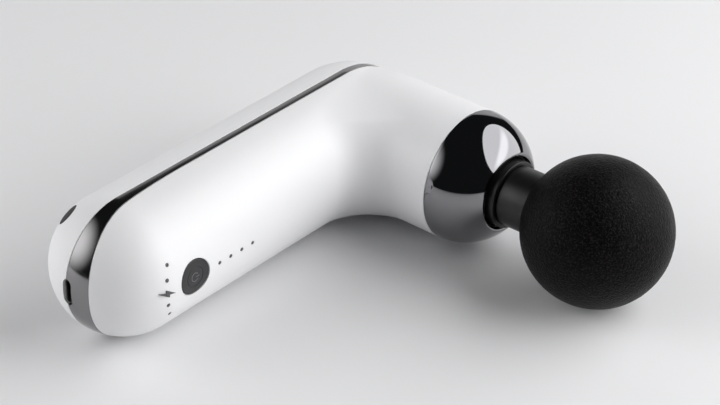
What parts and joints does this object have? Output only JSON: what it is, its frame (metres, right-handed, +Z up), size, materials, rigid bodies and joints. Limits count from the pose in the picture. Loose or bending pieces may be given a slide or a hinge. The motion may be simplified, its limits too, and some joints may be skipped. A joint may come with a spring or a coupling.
{
  "type": "massage gun",
  "caption": "L-shaped percussion massage gun lying on its side: round handle, trim band, press button, charging port, and a foam ball head on a crank-driven piston.",
  "frame": {"origin": "middle of the bounding box, at the level of the surface that the gun lies on", "axes": "+Z up off the table; +Y from the handle's lower end towards the barrel; +X the way the massage ball points, rising by 0.84 degrees because the ball is thicker than the handle"},
  "size_m": [0.1512, 0.1594, 0.05],
  "materials": {
    "white_shell": "satin pearl white moulding",
    "trim_metal": "polished gunmetal plating",
    "collar_chrome": "mirror black chrome plating",
    "button_plastic": "fine matt dark grey",
    "light_guide": "smoked translucent",
    "foam": "fine-grained matt black foam",
    "black_plastic": "satin black moulding",
    "rubber": "soft matt black",
    "steel": "machined",
    "aluminium": "die cast",
    "magnet": "nickel plated",
    "copper": "enamelled winding wire",
    "nickel": "plated",
    "cell_wrap": "shrink-wrapped cell",
    "board": "lacquered circuit board",
    "sleeve_brass": "sintered bush",
    "wire_red": "silicone wire",
    "wire_black": "silicone wire"
  },
  "bodies": {
    "gun_body": {"front_shell": "white_shell", "rear_cover": "white_shell", "trim_band": "trim_metal", "nose_collar": "collar_chrome", "neck_seal": "rubber", "speed_light_guide": "light_guide", "battery_light_guide": "light_guide", "screw_plug_upper": "rubber", "screw_plug_lower": "rubber", "case_screw_upper": "steel", "case_screw_lower": "steel", "drive_bracket": "aluminium", "guide_sleeve": "sleeve_brass", "front_damper": "rubber", "motor_damper": "rubber", "motor_base": "aluminium", "stator_core": "steel", "winding_upper": "copper", "winding_lower": "copper", "motor_screw_1": "steel", "motor_screw_2": "steel", "motor_screw_3": "steel", "motor_screw_4": "steel", "battery_cell_upper": "cell_wrap", "battery_cell_lower": "cell_wrap", "cell_holder": "black_plastic", "nickel_strip_top": "nickel", "nickel_strip_bottom": "nickel", "main_board": "board", "board_screw_upper": "steel", "board_screw_lower": "steel", "tact_switch": "black_plastic", "motor_driver_chip": "black_plastic", "charge_chip": "black_plastic", "smoothing_capacitor": "nickel", "usb_c_shell": "nickel", "usb_c_insert": "black_plastic", "usb_board": "board", "motor_lead_1": "wire_black", "motor_lead_2": "wire_black", "motor_lead_3": "wire_black", "battery_lead_positive": "wire_red", "battery_lead_negative": "wire_black"},
    "crank": {"rotor_bell": "steel", "magnet_ring": "magnet", "motor_shaft": "steel", "eccentric": "steel", "crank_pin": "steel", "crank_bearing": "steel"},
    "drive_piston": {"piston": "black_plastic", "wrist_pin": "steel", "connecting_rod": "aluminium"},
    "grip_ring": {"socket_grip_ring": "rubber"},
    "massage_head": {"head_stem": "black_plastic", "massage_ball": "foam"},
    "power_button": {"power_button": "button_plastic", "switch_plunger": "black_plastic"}
  },
  "joints": [
    {"name": "crank_spin", "type": "hinge", "parent": "gun_body", "child": "crank", "pos_m": [-0.05209, 0.05468, 0.0235], "axis": [0, 1, 0], "range_deg": [-90, 90]},
    {"name": "piston_slide", "type": "slide", "parent": "gun_body", "child": "drive_piston", "axis": [0.9999, 0, 0.0146], "range_m": [-0.0035, 0.0035]},
    {"name": "head_turn", "type": "hinge", "parent": "drive_piston", "child": "grip_ring", "pos_m": [0.0009, 0.05468, 0.02427], "axis": [0.9999, 0, 0.0146], "continuous": true},
    {"name": "head_pull_off", "type": "slide", "parent": "grip_ring", "child": "massage_head", "axis": [0.9999, 0, 0.0146], "range_m": [0, 0.03]},
    {"name": "power_button_press", "type": "slide", "parent": "gun_body", "child": "power_button", "axis": [-0.9999, 0, -0.0146], "range_m": [0, 0.0004], "stiffness_N_per_m": 2000, "springref_m": -0.0008}
  ],
  "couplings": [
    {"joint": "piston_slide", "follows": "crank_spin", "m_per_rad": 0.0022282}
  ]
}
